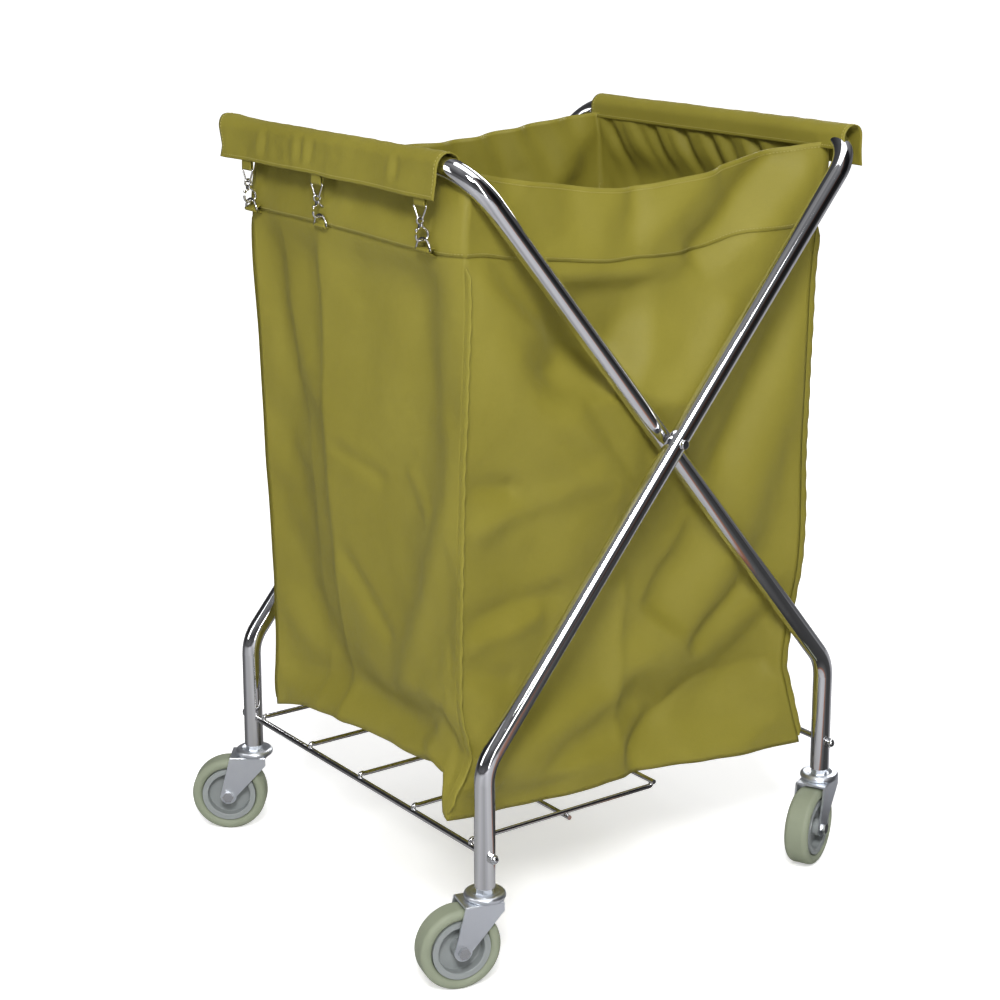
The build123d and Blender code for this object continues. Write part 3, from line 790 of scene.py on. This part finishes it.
def wall_grid():
    """The whole wall as (rows, columns, 3), round from the near left corner, left to right in front."""
    parts = []
    for side in SIDES:
        share = np.linspace(0, 1, STEPS[side] + 1)[:-1]
        parts.append(side_points(side, share[None, :], heights[:, None]))
    return np.concatenate(parts, axis=1)


COARSE_ROWS, COARSE_COLUMNS = 43, 84
SETTLE_FRAMES = 36
SETTLE_REACH = 0.022  # the farthest that a point may settle
SETTLING = {
    "quality": 7, "mass": 0.25, "tension_stiffness": 25.0, "compression_stiffness": 25.0,
    "shear_stiffness": 8.0, "bending_stiffness": 1.5, "air_damping": 2.0,
    "vertex_group_mass": "held", "pin_stiffness": 1.0, "shrink_min": -0.014}
# how firmly the wall is held: by the bars' flaps, at the free rims, the bottom, the corners, anywhere
HOLD_BAR, HOLD_RIM, HOLD_BOTTOM, HOLD_CORNER, HOLD_ALL = 1.0, 0.35, 0.6, 0.55, 0.012


def refine(coarse, row_at, column_at, shape):
    """Values on the coarse rows and columns, smoothly filled in over the whole wall."""
    total = shape[1]
    wide = np.concatenate([coarse, coarse[:, :1]], axis=1)
    stops = np.append(column_at, total)
    filled = np.stack([[np.interp(np.arange(total), stops, row[:, i]) for i in range(3)] for row in wide])
    filled = np.moveaxis(filled, 1, 2)
    out = np.empty(shape)
    for i in range(3):
        for c in range(total):
            out[:, c, i] = np.interp(np.arange(shape[0]), row_at, filled[:, c, i])
    for _ in range(3):
        out = (np.roll(out, 1, axis=1) + 2 * out + np.roll(out, -1, axis=1)) / 4
        padded = np.concatenate([out[:1], out, out[-1:]])
        out = (padded[:-2] + 2 * out + padded[2:]) / 4
    return out


def hang(grid):
    """Lets the wall settle: a coarse copy, cut a little large, sags and buckles between what holds it."""
    row_at = np.linspace(0, grid.shape[0] - 1, COARSE_ROWS).round().astype(int)
    column_at = np.arange(0, grid.shape[1], grid.shape[1] // COARSE_COLUMNS)
    coarse = grid[row_at][:, column_at]
    count = len(column_at)
    mesh = bpy.data.meshes.new("settling")
    faces = grid_faces(COARSE_ROWS, count, wrap=True)
    mesh.from_pydata([tuple(p) for p in coarse.reshape(-1, 3)], [], faces)
    sheet = add_object("settling", mesh)
    held = sheet.vertex_groups.new(name="held")
    corners = np.cumsum([0] + [STEPS[side] for side in SIDES])
    sides = np.searchsorted(corners[1:], column_at, side="right")
    for r in range(COARSE_ROWS):
        for c in range(count):
            off_corner = np.min(np.abs(corners - column_at[c]))
            grip = HOLD_CORNER if off_corner < 2.8 else 0.0
            if r >= COARSE_ROWS - 2:
                grip = max(grip, HOLD_BAR if SIDES[sides[c]] in ("left", "right") else HOLD_RIM)
            if r <= 1:
                grip = max(grip, HOLD_BOTTOM)
            held.add([r * count + c], max(grip, HOLD_ALL), "REPLACE")
    cloth_mod = sheet.modifiers.new("cloth", "CLOTH")
    for name, value in SETTLING.items():
        setattr(cloth_mod.settings, name, value)
    cloth_mod.collision_settings.use_collision = False
    cloth_mod.point_cache.frame_start, cloth_mod.point_cache.frame_end = 1, SETTLE_FRAMES
    for number in range(1, SETTLE_FRAMES + 1):
        bpy.context.scene.frame_set(number)
    graph = bpy.context.evaluated_depsgraph_get()
    settled = sheet.evaluated_get(graph).to_mesh()
    points = np.empty(len(settled.vertices) * 3)
    settled.vertices.foreach_get("co", points)
    sheet.evaluated_get(graph).to_mesh_clear()
    bpy.data.objects.remove(sheet)
    bpy.context.scene.frame_set(1)
    move = points.reshape(COARSE_ROWS, count, 3) - coarse
    far = np.linalg.norm(move, axis=2, keepdims=True)
    move = move * np.minimum(1.0, SETTLE_REACH / np.maximum(far, 1e-9))
    move[..., 2] *= 0.35
    return grid + refine(move, row_at, column_at, grid.shape)


def meet_rings(grid):
    """Brings the short walls out to the D-rings' tabs along the band's seam."""
    grid = grid.copy()
    for side, sign in (("right", 1), ("left", -1)):
        start = FIRST_COLUMN[side]
        part = grid[:, start : start + STEPS[side]]
        share = np.linspace(0, 1, STEPS[side])[None, :]
        pull = 0.92 * bell((part[..., 2] - TAB_Z) / 0.034) * (1 - np.abs(2 * share - 1) ** 6)
        part[..., 0] += pull * (sign * TAB_X - part[..., 0])
    return grid


def clear_frames(grid):
    """Keeps the long walls inside the folding frames' tubes."""
    grid = grid.copy()
    for side, sign in (("near", -1), ("far", 1)):
        start = FIRST_COLUMN[side]
        part = grid[:, start : start + STEPS[side] + 1]
        room = HALF_Y + room_out(part[..., 0], part[..., 2])
        over = sign * part[..., 1] - (room - 0.004)
        part[..., 1] -= sign * np.where(over > 0, over - 0.004 * np.tanh(over / 0.004), 0.0)
    return grid


def floor_grid(bottom):
    """The bag's floor, with the wall's bottom row as its edge, laid down on the shelves."""
    n, m = STEPS["near"], STEPS["right"]
    near, right = bottom[: n + 1], bottom[n : n + m + 1]
    far = bottom[n + m : 2 * n + m + 1][::-1]
    left = np.concatenate([bottom[2 * n + m :], bottom[:1]])[::-1]
    u = np.linspace(0, 1, n + 1)[None, :, None]
    v = np.linspace(0, 1, m + 1)[:, None, None]
    ruled = (1 - v) * near[None] + v * far[None] + (1 - u) * left[:, None] + u * right[:, None]
    corner = (1 - u) * (1 - v) * near[0] + u * (1 - v) * near[-1] + (1 - u) * v * far[0] + u * v * far[-1]
    points = ruled - corner
    x, y = points[..., 0], points[..., 1]
    inside = np.minimum(np.minimum(u * 0.08, (1 - u) * 0.54), np.minimum(v, 1 - v) * 0.45)[..., 0]
    inside = np.clip(inside / 0.035, 0, 1)
    rest = FLOOR_Z + 0.0010 * ripple_mid(x, y) + 0.0012 * ripple_wide(x, y)
    points[..., 2] += (rest - points[..., 2]) * inside**0.7
    return points


# -------- the bag's pieces

def fold_flat(piece):
    """Gives the piece its own copy of its mesh."""
    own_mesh(piece)


wall = wall_grid()
wall = hang(wall)
wall = clear_frames(meet_rings(wall))
wall_out = normals_of(wall)
rows, columns = wall.shape[:2]
# the flat cloth: round a row half way up, and up a column near the middle of the near wall
around = travel_of(wall[60])
up = travel_of(wall[:, 40])


def wall_uv():
    """Every wall point's place on the flat cloth."""
    return np.stack(np.broadcast_arrays(around[None, :], up[:, None]), axis=-1).reshape(-1, 2)


def make_bag():
    """The shell: four walls in one round strip, and the floor sewn in."""
    floor = floor_grid(wall[0])
    n, m = STEPS["near"], STEPS["right"]
    inner = floor[1:-1, 1:-1]
    points = np.concatenate([wall.reshape(-1, 3), inner.reshape(-1, 3)])
    uvs = np.concatenate([wall_uv(), inner.reshape(-1, 3)[:, :2] + (0.0, 3.0)])
    faces = grid_faces(rows, columns, wrap=True)
    index = np.empty((m + 1, n + 1), int)
    index[0, :] = np.arange(n + 1)
    index[:, n] = n + np.arange(m + 1)
    index[m, :] = (n + m + np.arange(n + 1))[::-1]
    index[1:, 0] = (2 * n + m + np.arange(m))[::-1]
    index[1:-1, 1:-1] = rows * columns + np.arange((m - 1) * (n - 1)).reshape(m - 1, n - 1)
    for r in range(m):
        for c in range(n):
            faces.append((index[r, c], index[r + 1, c], index[r + 1, c + 1], index[r, c + 1]))
    faces = [tuple(int(i) for i in face) for face in faces]
    bag = make_piece("bag_shell", points, faces, uvs, "bag")
    thicken(bag, SHEET)
    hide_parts("bag_front_panel", "bag_back_panel", "bag_left_panel", "bag_right_panel", "bag_floor")
    return bag


def make_band():
    """The doubled band sewn round the top, a second layer on the wall."""
    start = LOW_ROWS - 1
    layer = wall[start:] + 0.0017 * wall_out[start:]
    layer[-1, :, 2] += 0.0006
    layer[0] -= 0.0002 * wall_out[start]
    faces = grid_faces(len(layer), columns, wrap=True)
    uvs = wall_uv()[start * columns :] + (0.3, 0.2)
    band = make_piece("bag_hem_band", layer.reshape(-1, 3), faces, uvs, "bag")
    thicken(band, 0.0015)
    return band


def wall_at(side, share, height, lift=0.0):
    """A point lifted off the wall and its normal, at a share of the side and a height 0 to 1."""
    c = FIRST_COLUMN[side] + share * STEPS[side]
    r = np.interp(height, heights, np.arange(rows))
    point, normal = between(wall, r, c), between(wall_out, r, c)
    normal = normal / np.linalg.norm(normal)
    return point + lift * normal, normal


def run_of_stitches(points, normals, pitch=0.0044, length=0.0031, radius=0.00046):
    """Thread dashes along a line on cloth: (points, faces, uvs)."""
    travel = travel_of(points)
    out_points, out_faces = [], []
    for k in range(int(travel[-1] / pitch)):
        ends = [(k + 0.5) * pitch - length / 2, (k + 0.5) * pitch + length / 2]
        tail, head = (np.array([np.interp(e, travel, points[:, i]) for i in range(3)]) for e in ends)
        normal = np.array([np.interp((k + 0.5) * pitch, travel, normals[:, i]) for i in range(3)])
        ahead = (head - tail) / np.linalg.norm(head - tail)
        beside = np.cross(ahead, normal)
        start = len(out_points)
        out_points.append(tail - 0.2 * radius * normal)
        for share in (0.22, 0.78):
            centre = tail + share * (head - tail) + 0.15 * radius * normal
            for turn in range(5):
                angle = 2 * math.pi * turn / 5
                off = math.cos(angle) * beside + math.sin(angle) * normal
                out_points.append(centre + 0.9 * radius * off)
        out_points.append(head - 0.2 * radius * normal)
        for turn in range(5):
            a, b = turn, (turn + 1) % 5
            out_faces.append((start, start + 1 + b, start + 1 + a))
            out_faces.append((start + 1 + a, start + 1 + b, start + 6 + b, start + 6 + a))
            out_faces.append((start + 11, start + 6 + a, start + 6 + b))
    return out_points, out_faces, [(p[0], p[2]) for p in out_points]


def make_stitches(name, lines, body):
    """Several runs of stitches as one piece. Each line is (points, normals)."""
    points, faces, uvs = join(run_of_stitches(*line) for line in lines)
    return make_piece(name, points, faces, uvs, body, thread)


def wall_line(side, height, lift):
    """A line round one side of the wall, at one height."""
    found = [wall_at(side, min(s, 0.9999), height, lift) for s in np.linspace(0.0, 1.0, 200)]
    return np.array([p for p, _ in found]), np.array([n for _, n in found])


# each corner's seam: the side that starts at it, and which way its fin stands out
SEAMS = {
    "near_left": ("near", (0.0, -1.0)),
    "near_right": ("right", (1.0, 0.0)),
    "far_right": ("far", (-0.90, 0.43)),
    "far_left": ("left", (0.90, 0.43)),
}
# the fin's section, as (out of the corner, across)
FIN = (
    (-0.0012, 0.0012), (0.0035, 0.0013), (0.0080, 0.0012), (0.0088, 0.0), (0.0080, -0.0012),
    (0.0035, -0.0013), (-0.0012, -0.0012))


def seam_fin(corner):
    """A pinched seam that stands out of a corner: its (points, faces, uvs), and its line of stitches."""
    side, outward = SEAMS[corner]
    outward = np.array([*outward, 0.0])
    beside = np.array([outward[1], -outward[0], 0.0])
    if corner == "far_left":
        beside = -beside
    levels = np.linspace(0.012, HEM_AT - 0.014, 230)
    calm = 1.0 if corner.startswith("near") else 0.15
    points, uvs, line = [], [], []
    for k, level in enumerate(levels):
        base, _ = wall_at(side, 0.0, level)
        pucker = calm * 0.0005 * math.sin(2 * math.pi * base[2] / 0.027)
        pucker = pucker + calm * 0.0006 * ripple_mid(base[2], 0.0)
        taper = min(1.0, (k + 1) / 5, (len(levels) - k) / 5)
        for out, across in FIN:
            sway = pucker * max(out, 0.0) / 0.007
            points.append(base + outward * out * taper + beside * (across + sway))
            uvs.append((out + 0.01 * across, base[2]))
        line.append(base + outward * 0.0042 * taper + beside * (-0.00140 + pucker * 0.5))
    fin = points, grid_faces(len(levels), len(FIN)), uvs
    return fin, (np.array(line), np.array([-beside] * len(levels)))


def make_seams():
    """The four corner seams as one piece, and their lines of stitches."""
    fins, lines = zip(*(seam_fin(corner) for corner in SEAMS))
    points, faces, uvs = join(fins)
    return make_piece("bag_corner_seams", points, faces, uvs, "bag"), list(lines)


# -------- flaps over the handle bars

# side is the bar's side in x; reach is the flap's run in y; hang is the outer edge's height at its ends
FLAPS = {
    "left": {"side": -1, "body": "bag", "frame": "inner_frame", "reach": (-0.206, 0.270),
             "hang": (0.918, 0.921)},
    "right": {"side": 1, "body": "bag_right_end", "frame": "outer_frame", "reach": (-0.263, 0.238),
              "hang": (0.917, 0.914)},
}
FLAP_ROWS, FLAP_COLUMNS = 46, 120
DRAG_LINES = (-0.125, 0.060, 0.085, 0.170)  # the y of short upright folds in the outer legs
flap_wave = waves(10, 0.05, 0.16, 21)
flap_fine = waves(12, 0.018, 0.045, 23)


def flap_profile(loose, hang):
    """Half a turn over the bar and the outer leg, as (outward from the bar's axis, height) by arc."""
    radius = 0.0146 + loose
    rise = [(-radius - 0.0006, 0.9385), (-radius - 0.0002, 0.9460)]
    turn = [(-radius * math.cos(t), BAR_Z + radius * math.sin(t)) for t in np.linspace(0, math.pi, 22)]
    leg = [(radius + 0.0012, 0.9440), (radius + 0.0032, 0.9300), (0.0196 + loose, hang)]
    path = np.array(rise + turn + leg)
    travel = travel_of(path)
    even = np.linspace(0, travel[-1], FLAP_ROWS)
    return np.stack([np.interp(even, travel, path[:, i]) for i in range(2)], axis=1), even


def flap_grid(end):
    """The flap as (rows, columns, 3), from its inner edge over the bar to its outer edge."""
    kind = FLAPS[end]
    side, (near_hang, far_hang) = kind["side"], kind["hang"]
    grid = np.empty((FLAP_ROWS, FLAP_COLUMNS, 3))
    for c, y in enumerate(np.linspace(*kind["reach"], FLAP_COLUMNS)):
        share = c / (FLAP_COLUMNS - 1)
        hang = near_hang + (far_hang - near_hang) * share + 0.0011 * flap_wave(y, 0.3 * side)
        open_end = max(0.0, (-0.2050 - y) / 0.06, (y - 0.2050) / 0.05)
        gape = (0.0026 if side < 0 else -0.0003) * min(open_end, 1.0) ** 1.5
        loose = 0.0004 + 0.0006 * (1 + flap_wave(y, 1.0 + side)) + gape
        section, even = flap_profile(loose, hang)
        fall = np.clip((even - 0.052) / 0.040, 0, 1)
        over = np.clip((even - 0.012) / 0.02, 0, 1)
        drape = 0.0026 * fall * (0.6 + flap_wave(y, 0.4 * even)) + 0.0005 * over * flap_fine(y, even)
        pinch = sum(bell((y - spot) / 0.020) for spot in CLIPS[end])
        drape = drape - 0.0016 * fall * pinch
        drag = sum(bell((y - spot) / 0.007) - 0.8 * bell((y - spot - 0.014) / 0.008) for spot in DRAG_LINES)
        drape = drape - 0.0024 * np.sin(math.pi * fall) * drag
        if side > 0:
            drape = drape - 0.0050 * fall * min(open_end, 1.0)
        grid[:, c, 0] = side * (BAR_X + section[:, 0] + drape)
        grid[:, c, 1] = y + 0.022 * (1 - fall) * np.clip((share - 0.85) / 0.15, 0, 1) * (side < 0)
        grid[:, c, 2] = section[:, 1] + 0.0005 * over * (1 - fall) * flap_fine(y + 1.0, even)
    return grid


def make_flap(end):
    """The flap over one bar: its cloth, its stitches and its flat size."""
    kind = FLAPS[end]
    grid = flap_grid(end)
    normals = -kind["side"] * normals_of(grid)
    length = kind["reach"][1] - kind["reach"][0]
    arc = travel_of(grid[:, FLAP_COLUMNS // 2])
    flat_y = np.linspace(0, length, FLAP_COLUMNS)
    uvs = np.stack(np.broadcast_arrays(flat_y[None, :], arc[:, None]), axis=-1).reshape(-1, 2)
    faces = grid_faces(FLAP_ROWS, FLAP_COLUMNS)
    flap = make_piece(f"{end}_flap_cloth", grid.reshape(-1, 3), faces, uvs, kind["body"])
    thicken(flap, 0.0013)
    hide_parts(f"{end}_flap")
    # stitches run along all four edges, a little way in
    edge = 0.0039 / (arc[-1] / (FLAP_ROWS - 1))
    inset = 0.0045 / (length / (FLAP_COLUMNS - 1))
    low, last = FLAP_ROWS - 1 - edge, FLAP_COLUMNS - 1
    runs = [[(r, c) for c in np.linspace(1, last - 1, 260)] for r in (low, edge)]
    runs += [[(r, c) for r in np.linspace(edge, low, 80)] for c in (inset, last - inset)]
    lines = []
    for run in runs:
        outs = np.array([between(normals, r, c) for r, c in run])
        lines.append((np.array([between(grid, r, c) for r, c in run]) + 0.0008 * outs, outs))
    stitched = make_stitches(f"{end}_flap_stitches", lines, kind["body"])
    return flap, stitched, (length, float(arc[-1]))


def strip(path, y, width, along=26, across=9):
    """A band of cloth bent along a path in (x, z), width wide along Y: (points, faces, uvs)."""
    path = np.array(path)
    travel = travel_of(path)
    even = np.linspace(0, travel[-1], along)
    xs, zs = (np.interp(even, travel, path[:, i]) for i in range(2))
    ys = y + np.linspace(-width / 2, width / 2, across)
    points = [(x, v, z) for x, z in zip(xs, zs) for v in ys]
    return points, grid_faces(along, across), [(v, e) for e in even for v in ys]


def around_wire(centre, radius, start, end):
    """Points round a wire seen along Y, between two angles in degrees from +X, as (x, z)."""
    turns = np.radians(np.linspace(start, end, 9))
    return [(centre[0] + radius * math.cos(t), centre[1] + radius * math.sin(t)) for t in turns]


def make_tabs(end):
    """Cloth tabs that hold the wire loops under the flap and the D-rings at the band's seam."""
    kind = FLAPS[end]
    side = kind["side"]
    strips = []
    for y in CLIPS[end]:
        loop_x, ring_x = side * LOOP_X, side * RING_X
        share = (y + HALF_Y) / (2 * HALF_Y)
        share = 1 - share if end == "left" else share
        wall_high = wall_at(end, share, HEM_AT + 0.010, 0.0030)[0]
        wall_low = wall_at(end, share, HEM_AT - 0.004, 0.0012)[0]
        under = (180.0, 360.0) if side > 0 else (0.0, -180.0)
        hanging = [(loop_x - side * 0.0019, 0.9340), (loop_x - side * 0.0017, LOOP_Z + 0.004)]
        hanging += around_wire((loop_x, LOOP_Z), 0.0017, *under)
        hanging += [(loop_x + side * 0.0016, LOOP_Z + 0.004), (loop_x + side * 0.0010, 0.9340)]
        outside = (100.0, -100.0) if side > 0 else (80.0, 280.0)
        held = [(wall_high[0], wall_high[2])]
        held += around_wire((ring_x, RING_Z), 0.0021, *outside) + [(wall_low[0], wall_low[2])]
        strips += [strip(hanging, y, 0.022), strip(held, y, 0.025)]
    points, faces, uvs = join(strips)
    tabs = make_piece(f"{end}_clip_tabs", points, faces, uvs, kind["body"], webbing)
    thicken(tabs, 0.0008)
    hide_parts(f"{end}_clip_straps")
    return tabs


bag = make_bag()
band = make_band()
seams, seam_lines = make_seams()
hem_lines = [wall_line(side, HEM_AT + 0.0052, 0.0027) for side in SIDES]
rim_lines = [wall_line(side, 1 - 0.008, 0.0027) for side in ("near", "far")]
bag_stitches = make_stitches("bag_stitches", hem_lines + rim_lines + seam_lines, "bag")
for piece in (bag, band, seams, bag_stitches):
    fold_flat(piece)
flap_pieces = {end: make_flap(end) for end in FLAPS}
tab_pieces = {end: make_tabs(end) for end in FLAPS}
